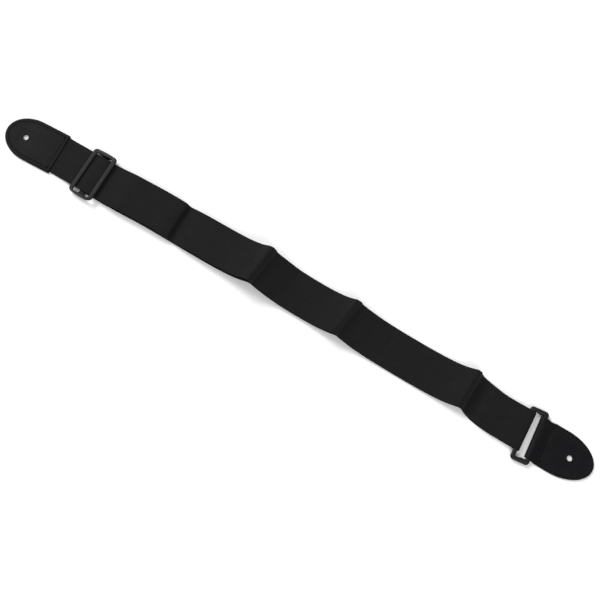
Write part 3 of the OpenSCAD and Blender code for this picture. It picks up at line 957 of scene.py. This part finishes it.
def slider_frame():
    """Two outer bars and two cheeks; the cheeks bow outwards and reach down to the middle bar."""
    outer = rounded(SLIDER_L / 2, SLIDER_W / 2, SLIDER_CORNER)
    inner = rounded(SLIDER_L / 2 - OUTER_BAR_W, SLIDER_W / 2 - CHEEK_W, 2)
    bow = CHEEK_BOW * np.clip(1 - (outer[:, 0] / (SLIDER_L / 2 - 3)) ** 2, 0, 1)
    bow *= np.abs(outer[:, 1]) > SLIDER_W / 2 - 6
    outer[:, 1] += np.sign(outer[:, 1]) * bow
    far = ramp(inner[:, 1], SLIDER_W / 2 - CHEEK_W - 9, SLIDER_W / 2 - CHEEK_W - 1)
    inner[:, 1] -= FAR_CHEEK_MORE * far * (1 - inner[:, 0] / SLIDER_L)
    angles = np.linspace(0, 2 * math.pi, 28, endpoint=False)
    u, v = box_round(angles, 5)
    points = []
    for o, i in zip(outer, inner):
        middle, half = (o + i) / 2, (o - i) / 2
        x = middle[0]
        cheek = ramp(abs(middle[1]), SLIDER_W / 2 - CHEEK_W - 1.8, SLIDER_W / 2 - CHEEK_W + 0.1)
        top = frame_under(x) + OUTER_BAR_T
        sink = (frame_under(x) - SLIDER_LOW[2]) * (1 - ramp(abs(x), *CHEEK_DOWN)) * cheek
        base = frame_under(x) - sink
        for a, b in zip(u, v):
            points.append((*(middle + half * a), (top + base) / 2 + (top - base) / 2 * b))
    return points, tube_faces(len(outer), len(angles), closed=True)


def slider_middle_bar():
    """A flat bar that flares where it meets the cheeks."""
    reach = SLIDER_W / 2 - CHEEK_W / 2
    angles = np.linspace(0, 2 * math.pi, 28, endpoint=False)
    u, v = box_round(angles, 3)
    ys = np.linspace(-reach, reach, 61)
    points = []
    for y in ys:
        flare = float(ramp(abs(y), reach - FLARE_FROM[0], reach - FLARE_FROM[1]))
        half_w, half_t = MID_BAR_W / 2 + FLARE_W * flare, MID_BAR_T / 2 + FLARE_T * flare
        for a, b in zip(u, v):
            points.append((half_w * a, y, MID_BAR_Z + half_t * b + FLARE_T * flare))
    return points, tube_faces(len(ys), len(angles))


def slider(material):
    """One moulding: the frame and the middle bar, joined and softened into each other."""
    parts = []
    for points, faces in (slider_frame(), slider_middle_bar()):
        placed = np.array(points) + np.array([SLIDER_X, SLIDER_Y, 0])
        parts.append(new_piece("slider_part", placed, faces, material))
    body, bar = parts
    join = body.modifiers.new("join", "BOOLEAN")
    join.operation, join.object, join.solver = "UNION", bar, "EXACT"
    mould = body.modifiers.new("mould", "REMESH")
    mould.mode, mould.voxel_size = "VOXEL", 0.36 * MM
    soften = body.modifiers.new("soften", "SMOOTH")
    soften.factor, soften.iterations = 0.5, 4
    bpy.context.view_layer.update()
    mesh = bpy.data.meshes.new_from_object(body.evaluated_get(bpy.context.evaluated_depsgraph_get()))
    mesh.polygons.foreach_set("use_smooth", [True] * len(mesh.polygons))
    for part in parts:
        bpy.data.objects.remove(part)
    piece = new_object("slider_moulding", mesh)
    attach(piece, "slider")
    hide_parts("slider")


# ------------ materials


class Surface:
    """A node material, built up one node at a time."""

    def __init__(self, name, base, roughness, specular):
        self.material = bpy.data.materials.new(name)
        self.material.use_nodes = True
        self.tree = self.material.node_tree
        self.shader = self.tree.nodes["Principled BSDF"]
        self.feed(self.shader.inputs["Base Color"], (*base, 1))
        self.feed(self.shader.inputs["Roughness"], roughness)
        self.feed(self.shader.inputs["Specular IOR Level"], specular)

    def feed(self, socket, value):
        if isinstance(value, bpy.types.NodeSocket):
            self.tree.links.new(value, socket)
        else:
            socket.default_value = value

    def node(self, kind, inputs=None, **settings):
        made = self.tree.nodes.new(kind)
        for key, value in settings.items():
            setattr(made, key, value)
        for key, value in (inputs or {}).items():
            self.feed(made.inputs[key], value)
        return made

    def math(self, operation, a, b=0.0, c=0.0):
        return self.node("ShaderNodeMath", {0: a, 1: b, 2: c}, operation=operation).outputs[0]

    def where(self, kind, scale):
        """Coordinates in millimetres, times a scale for each axis."""
        if kind == "weave":
            source = self.node("ShaderNodeUVMap", uv_map="weave").outputs["UV"]
        else:
            source = self.node("ShaderNodeTexCoord").outputs["Object"]
            scale = tuple(s / MM for s in scale)
        return self.node("ShaderNodeVectorMath", {0: source, 1: scale}, operation="MULTIPLY").outputs[0]

    def noise(self, kind, scale, detail=2.0, roughness=0.5):
        inputs = {"Vector": self.where(kind, scale), "Scale": 1.0, "Detail": detail, "Roughness": roughness}
        return self.node("ShaderNodeTexNoise", inputs).outputs["Fac"]

    def between(self, value, low, high, to_low=0.0, to_high=1.0):
        inputs = {"Value": value, "From Min": low, "From Max": high, "To Min": to_low, "To Max": to_high}
        return self.node("ShaderNodeMapRange", inputs).outputs["Result"]

    def mix(self, share, a, b):
        """Mixes two colours."""
        made = self.node("ShaderNodeMix", data_type="RGBA")
        self.feed(made.inputs["Factor"], share)
        self.feed(made.inputs[6], a if isinstance(a, bpy.types.NodeSocket) else (*a, 1))
        self.feed(made.inputs[7], b if isinstance(b, bpy.types.NodeSocket) else (*b, 1))
        return made.outputs[2]

    def colour(self, value):
        self.feed(self.shader.inputs["Base Color"], value)

    def rough(self, value):
        self.feed(self.shader.inputs["Roughness"], value)

    def bump(self, height, deep, strength=1.0):
        """Adds relief of that depth in millimetres on top of what is there."""
        before = self.shader.inputs["Normal"]
        made = self.node("ShaderNodeBump", {"Height": height, "Distance": deep * MM, "Strength": strength})
        if before.is_linked:
            self.feed(made.inputs["Normal"], before.links[0].from_socket)
        self.feed(before, made.outputs["Normal"])


def webbing_material():
    """Black webbing of flat multifilament yarn: each rib is a column of floats that lean in turn, with painted
    shade in the gaps between floats.
    """
    made = Surface("webbing", (0.006, 0.006, 0.0062), 0.75, 0.12)
    rib_w = (WEB_W - 2 * SELVEDGE) / RIBS
    float_l = 2.6
    place = made.node("ShaderNodeSeparateXYZ", {0: made.where("weave", (1, 1, 1))})
    column = made.math("DIVIDE", made.math("ADD", place.outputs[1], WEB_W / 2 - SELVEDGE), rib_w)
    number = made.math("FLOOR", column)
    across = made.math("SUBTRACT", made.math("FRACT", column), 0.5)
    odd = made.math("FLOORED_MODULO", number, 2.0)
    lean = made.math("MULTIPLY", across, made.math("MULTIPLY_ADD", odd, -1.6, 0.8))
    run = made.math("ADD", made.math("DIVIDE", place.outputs[0], float_l), lean)
    run = made.math("ADD", run, made.math("MULTIPLY", odd, 0.5))
    along = made.math("SUBTRACT", made.math("FRACT", run), 0.5)
    end_on, side_on = (
        made.math("POWER", made.math("ABSOLUTE", made.math("MULTIPLY", off, 2.0)), 3.0)
        for off in (along, across)
    )
    hump = made.math("SUBTRACT", 1.0, made.math("MAXIMUM", end_on, side_on))
    strands = made.noise("weave", (0.5, 11, 1), 2.0, 0.6)
    fuzz = made.noise("weave", (7, 7, 1), 3.0, 0.7)
    patches = made.noise("weave", (0.09, 0.14, 1), 4.0, 0.65)
    speckle = made.noise("weave", (0.4, 0.5, 1), 2.0, 0.6)
    yarn = made.mix(made.between(strands, 0.3, 0.7), (0.0048, 0.0048, 0.005), (0.0082, 0.0082, 0.0085))
    yarn = made.mix(made.between(patches, 0.35, 0.65, 0.0, 0.75), yarn, (0.0095, 0.0095, 0.0098))
    yarn = made.mix(made.between(speckle, 0.38, 0.62, 0.0, 0.5), yarn, (0.0026, 0.0026, 0.0027))
    # Painted shade: where the hump is low, in the gaps between floats, the colour goes to near black.
    made.colour(made.mix(made.between(hump, 0.0, 0.55), (0.0018, 0.0018, 0.0018), yarn))
    made.rough(made.between(fuzz, 0.3, 0.7, 0.6, 0.82))
    made.feed(made.shader.inputs["Sheen Weight"], 0.06)
    made.feed(made.shader.inputs["Sheen Roughness"], 0.4)
    made.bump(hump, 0.11)
    made.bump(strands, 0.03)
    made.bump(fuzz, 0.02)
    return made.material


def leather_material(name, base, roughness, grain_size, grain_deep):
    """Coated leather: pebbled grain with painted shade in its crevices, soft mottling, fine pores, darker edge
    paint and painted shade in its pressed lines.
    """
    made = Surface(name, base, roughness, 0.09)
    cells = {"Vector": made.where("object", (1 / grain_size,) * 3), "Scale": 1.0, "Randomness": 1.0}
    edges = made.node("ShaderNodeTexVoronoi", cells, feature="DISTANCE_TO_EDGE").outputs["Distance"]
    grain = made.between(edges, 0.0, 0.22)
    mottle = made.noise("object", (0.09, 0.09, 0.09), 4.0, 0.6)
    pores = made.noise("object", (3.2, 3.2, 3.2), 3.0, 0.6)
    creases = made.noise("object", (0.5, 0.18, 0.4), 5.0, 0.65)
    light = tuple(c * 1.28 for c in base)
    dark = tuple(c * 0.72 for c in base)
    tone = made.mix(made.between(mottle, 0.3, 0.7), dark, light)
    # Painted shade: the grain's crevices, where its relief is low, are darkened towards the dark tone.
    tone = made.mix(made.between(grain, 0.0, 0.8, 0.5, 0.0), tone, dark)
    rim = made.node("ShaderNodeAttribute", attribute_name="rim").outputs["Fac"]
    pressed = made.node("ShaderNodeAttribute", attribute_name="pressed").outputs["Fac"]
    # Painted shade: the pressed lines are darkened almost to black, standing in for the shade inside the groove.
    tone = made.mix(made.math("MULTIPLY", pressed, 0.85), tone, (0.0006, 0.0006, 0.0006))
    made.colour(made.mix(made.math("MULTIPLY", rim, 0.8), tone, (0.003, 0.003, 0.003)))
    made.feed(made.shader.inputs["Specular IOR Level"], made.between(pressed, 0.0, 1.0, 0.09, 0.03))
    dull = made.between(mottle, 0.3, 0.7, roughness - 0.06, roughness + 0.08)
    made.rough(made.math("MULTIPLY_ADD", made.between(pores, 0.3, 0.7), 0.08, dull))
    made.bump(grain, grain_deep)
    made.bump(pores, grain_deep * 0.4)
    made.bump(creases, 0.12, 0.6)
    return made.material


def thread_material():
    """Bonded sewing thread with a slight gloss and a few loose fibres."""
    made = Surface("sewing_thread", (0.016, 0.016, 0.0165), 0.5, 0.3)
    fibres = made.noise("object", (6, 6, 6), 3.0, 0.7)
    made.colour(made.mix(made.between(fibres, 0.3, 0.7), (0.01, 0.01, 0.0105), (0.024, 0.024, 0.025)))
    made.rough(made.between(fibres, 0.3, 0.7, 0.42, 0.62))
    made.bump(fibres, 0.03)
    return made.material


def plastic_material(name, base, roughness):
    """Moulded nylon: a fine spark texture, faint flow marks, and edges rubbed a little paler."""
    made = Surface(name, base, roughness, 0.17)
    spark = made.noise("object", (5.5, 5.5, 5.5), 2.0, 0.6)
    flow = made.noise("object", (0.12, 0.05, 0.12), 3.0, 0.55)
    scuffs = made.noise("object", (0.9, 0.35, 0.9), 5.0, 0.7)
    edge = made.node("ShaderNodeNewGeometry").outputs["Pointiness"]
    worn = made.math("MULTIPLY", made.between(edge, 0.51, 0.56), made.between(scuffs, 0.38, 0.62))
    light = tuple(c * 1.25 for c in base)
    dark = tuple(c * 0.8 for c in base)
    tone = made.mix(made.between(flow, 0.3, 0.7), dark, light)
    made.colour(made.mix(made.math("MULTIPLY", worn, 0.5), tone, tuple(c * 2.0 for c in base)))
    dull = made.between(scuffs, 0.3, 0.7, roughness - 0.05, roughness + 0.07)
    made.rough(dull)
    made.bump(spark, 0.025)
    made.bump(flow, 0.06)
    return made.material


# ------------ stage, light and camera

# Degrees for the camera's turn and rise, metres for its place, and millimetres for its lens
VIEW_AZIMUTH = -31.39
VIEW_ELEVATION = 76.5
VIEW_DISTANCE = 1.687
VIEW_TARGET = (0.01265, 0.0002, 0)
LENS = 82.7
SENSOR = 36


def add_floor():
    mesh = bpy.data.meshes.new("floor")
    half = 6
    corners = [(-half, -half, 0), (half, -half, 0), (half, half, 0), (-half, half, 0)]
    mesh.from_pydata(corners, [], [(0, 1, 2, 3)])
    floor = new_object("floor", mesh)
    floor.location.z = -0.0001
    made = Surface("floor", (0.93, 0.93, 0.93), 0.9, 0.1)
    speckle = made.noise("object", (0.02, 0.02, 0.02))
    made.colour(made.mix(speckle, (0.92, 0.92, 0.92), (0.94, 0.94, 0.94)))
    mesh.materials.append(made.material)


def add_light(name, place, size, power):
    """A square softbox that faces the strap."""
    lamp = bpy.data.lights.new(name, "AREA")
    lamp.shape = "SQUARE"
    lamp.size = size
    lamp.energy = power
    light = new_object(name, lamp)
    light.location = place
    light.rotation_mode = "QUATERNION"
    light.rotation_quaternion = (-Vector(place)).to_track_quat("-Z", "Y")


def add_stage():
    add_floor()
    add_light("key", (-3.0, 1.4, 3.4), 2.2, 172)
    add_light("fill", (1.9, -1.9, 2.6), 1.8, 50)
    world = bpy.data.worlds.new("studio")
    world.use_nodes = True
    sky = world.node_tree.nodes["Background"]
    sky.inputs["Color"].default_value = (1, 1, 1, 1)
    sky.inputs["Strength"].default_value = 0.6
    bpy.context.scene.world = world
    bpy.context.scene.view_settings.view_transform = "Standard"


def add_camera():
    """The camera stands over the strap and looks down at it, turned so that end A is at the left."""
    turn, rise = math.radians(VIEW_AZIMUTH), math.radians(VIEW_ELEVATION)
    way = Vector((math.sin(turn) * math.cos(rise), math.cos(turn) * math.cos(rise), -math.sin(rise)))
    lens = bpy.data.cameras.new("camera")
    lens.lens = LENS
    lens.sensor_width = SENSOR
    camera = new_object("camera", lens)
    camera.location = Vector(VIEW_TARGET) - way * VIEW_DISTANCE
    camera.rotation_mode = "QUATERNION"
    camera.rotation_quaternion = way.to_track_quat("-Z", "Y")
    bpy.context.scene.camera = camera


def build():
    webbing_cloth = webbing_material()
    leather = leather_material("leather", (0.0042, 0.0041, 0.005), 0.46, 0.85, 0.04)
    back = leather_material("leather_back", (0.008, 0.0078, 0.008), 0.75, 0.6, 0.07)
    sewn = thread_material()
    end_a(leather, back, sewn)
    end_b(leather, sewn)
    upper_webbing(webbing_cloth)
    lower_webbing(webbing_cloth)
    slider_loop(webbing_cloth)
    lap_stitching(sewn)
    slider(plastic_material("slider_nylon", (0.008, 0.008, 0.0083), 0.46))
    ring(plastic_material("ring_nylon", (0.008, 0.008, 0.0083), 0.46))


add_camera()
add_stage()
build()
